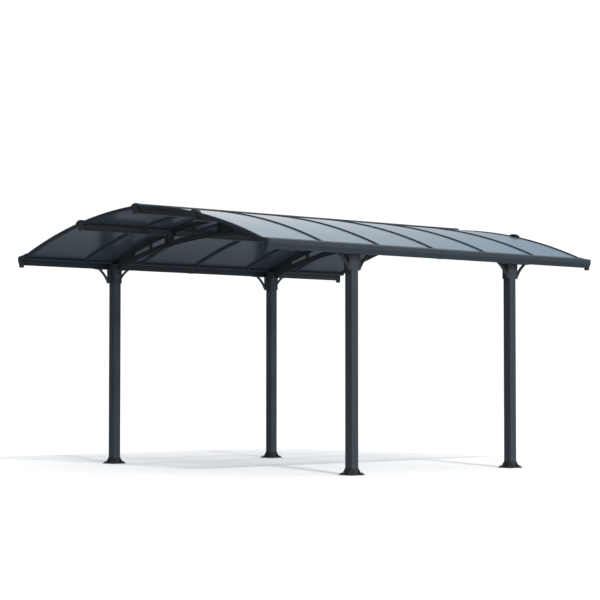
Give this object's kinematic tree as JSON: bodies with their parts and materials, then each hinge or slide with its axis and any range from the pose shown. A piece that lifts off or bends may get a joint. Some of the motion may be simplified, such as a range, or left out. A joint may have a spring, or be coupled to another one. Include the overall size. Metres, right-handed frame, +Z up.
{
  "type": "garden gazebo",
  "caption": "Open-sided gazebo with square metal posts, slotted arched trusses, eave gutters and a low barrel roof of tinted twin-wall sheets.",
  "frame": {"origin": "middle of the footprint of the roof at ground level, where the posts' feet stand", "axes": "+X along the ridge, +Y across the span of the arches, +Z up"},
  "size_m": [4.352, 3.569, 2.4345],
  "materials": {
    "post_metal": "fine matte powder coat, charcoal grey",
    "bracket_metal": "fine matte powder coat, charcoal grey",
    "gutter_metal": "satin powder coat, charcoal grey",
    "beam_metal": "fine matte powder coat, charcoal grey",
    "rib_metal": "satin powder coat, charcoal grey",
    "end_cap_plastic": "matte moulded plastic, near black",
    "roof_sheet": "tinted twin-wall sheet, blue grey, smooth"
  },
  "bodies": {
    "root": {"post_front_left": "post_metal", "post_front_right": "post_metal", "post_back_left": "post_metal", "post_back_right": "post_metal", "foot_front_left": "bracket_metal", "foot_front_right": "bracket_metal", "foot_back_left": "bracket_metal", "foot_back_right": "bracket_metal", "head_front_left": "bracket_metal", "head_front_right": "bracket_metal", "head_back_left": "bracket_metal", "head_back_right": "bracket_metal", "gutter_front_left": "gutter_metal", "gutter_front_right": "gutter_metal", "gutter_back_left": "gutter_metal", "gutter_back_right": "gutter_metal", "gutter_end_front_left": "end_cap_plastic", "gutter_end_front_right": "end_cap_plastic", "gutter_end_back_left": "end_cap_plastic", "gutter_end_back_right": "end_cap_plastic", "truss_front_left": "beam_metal", "truss_front_right": "beam_metal", "truss_back_left": "beam_metal", "truss_back_right": "beam_metal", "gutter_joints": "gutter_metal", "truss_splices": "bracket_metal", "ridge_beam": "beam_metal", "purlin_front": "beam_metal", "purlin_back": "beam_metal", "beam_caps_left": "end_cap_plastic", "beam_caps_right": "end_cap_plastic", "rim_left": "rib_metal", "rim_right": "rib_metal", "rib_1": "rib_metal", "rib_2": "rib_metal", "rib_3": "rib_metal", "rib_4": "rib_metal", "rib_5": "rib_metal", "panels_bay_1": "roof_sheet", "panels_bay_2": "roof_sheet", "panels_bay_3": "roof_sheet", "panels_bay_4": "roof_sheet", "panels_bay_5": "roof_sheet", "panels_bay_6": "roof_sheet"}
  },
  "joints": []
}
